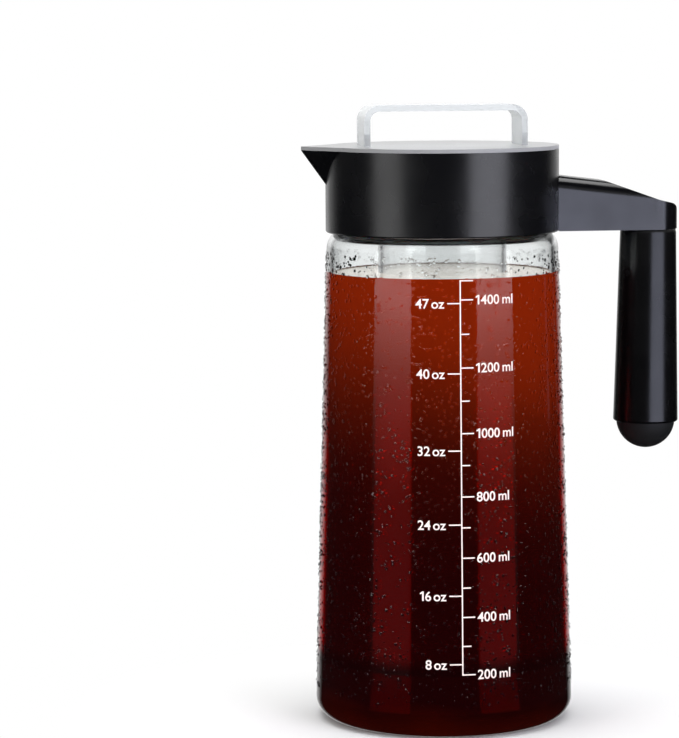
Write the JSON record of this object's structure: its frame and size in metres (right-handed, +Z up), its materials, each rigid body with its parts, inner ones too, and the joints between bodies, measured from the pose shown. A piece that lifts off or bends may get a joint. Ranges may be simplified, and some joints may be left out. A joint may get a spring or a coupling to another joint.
{
  "type": "cold brew coffee maker",
  "caption": "Cold brew coffee maker: tapered glass jug with a spouted plastic collar, bolted side grip, lift-out filter with a screw-off base, and sealed lid with a strap handle.",
  "frame": {"origin": "centre of the jug's flat base, on the surface it stands on", "axes": "+Z up along the jug's axis, +X towards the side grip, -X towards the spout, volume scale on the -Y side"},
  "size_m": [0.1627, 0.1102, 0.2631],
  "materials": {
    "jug_glass": "clear borosilicate glass",
    "scale_ink": "white baked ink",
    "black_gloss_plastic": "black moulded plastic, satin gloss",
    "black_inner_plastic": "black moulded plastic, semi-matt",
    "stainless_steel": "stainless fasteners",
    "brushed_lid_steel": "fine brushed stainless plate",
    "steel_mesh": "fine woven stainless mesh",
    "silicone": "translucent white silicone",
    "clear_acrylic": "clear polished acrylic",
    "clear_filter_plastic": "clear moulded copolyester",
    "brass": "turned brass insert"
  },
  "bodies": {
    "carafe": {"glass_carafe": "jug_glass", "volume_scale": "scale_ink", "collar": "black_gloss_plastic", "neck_split_ring": "stainless_steel", "rim_gasket": "silicone", "pour_deck": "black_inner_plastic", "handle_arm": "black_gloss_plastic", "arm_screws": "stainless_steel", "arm_insert": "brass", "grip": "black_gloss_plastic", "grip_bolt": "stainless_steel", "grip_washer": "stainless_steel", "grip_end_cap": "black_gloss_plastic"},
    "filter": {"filter_frame": "clear_filter_plastic", "filter_mesh": "steel_mesh"},
    "base_seal": {"base_seal": "silicone"},
    "filter_base": {"filter_base": "clear_filter_plastic", "base_mesh": "steel_mesh"},
    "lid": {"lid_plate": "brushed_lid_steel", "lid_plug": "black_inner_plastic", "lid_seal": "silicone", "lid_handle": "clear_acrylic", "lid_screws": "stainless_steel"}
  },
  "joints": [
    {"name": "filter_lift", "type": "slide", "parent": "carafe", "child": "filter", "axis": [0, 0, 1], "range_m": [0, 0.215]},
    {"name": "lid_lift", "type": "slide", "parent": "filter", "child": "lid", "axis": [0, 0, 1], "range_m": [0, 0.06]},
    {"name": "base_drop", "type": "slide", "parent": "filter", "child": "base_seal", "axis": [0, 0, -1], "range_m": [0, 0.006]},
    {"name": "base_turn", "type": "hinge", "parent": "base_seal", "child": "filter_base", "pos_m": [0, 0, 0.036], "axis": [0, 0, -1], "range_deg": [0, 720]}
  ],
  "couplings": [
    {"joint": "base_drop", "follows": "base_turn", "m_per_rad": 0.000477}
  ]
}
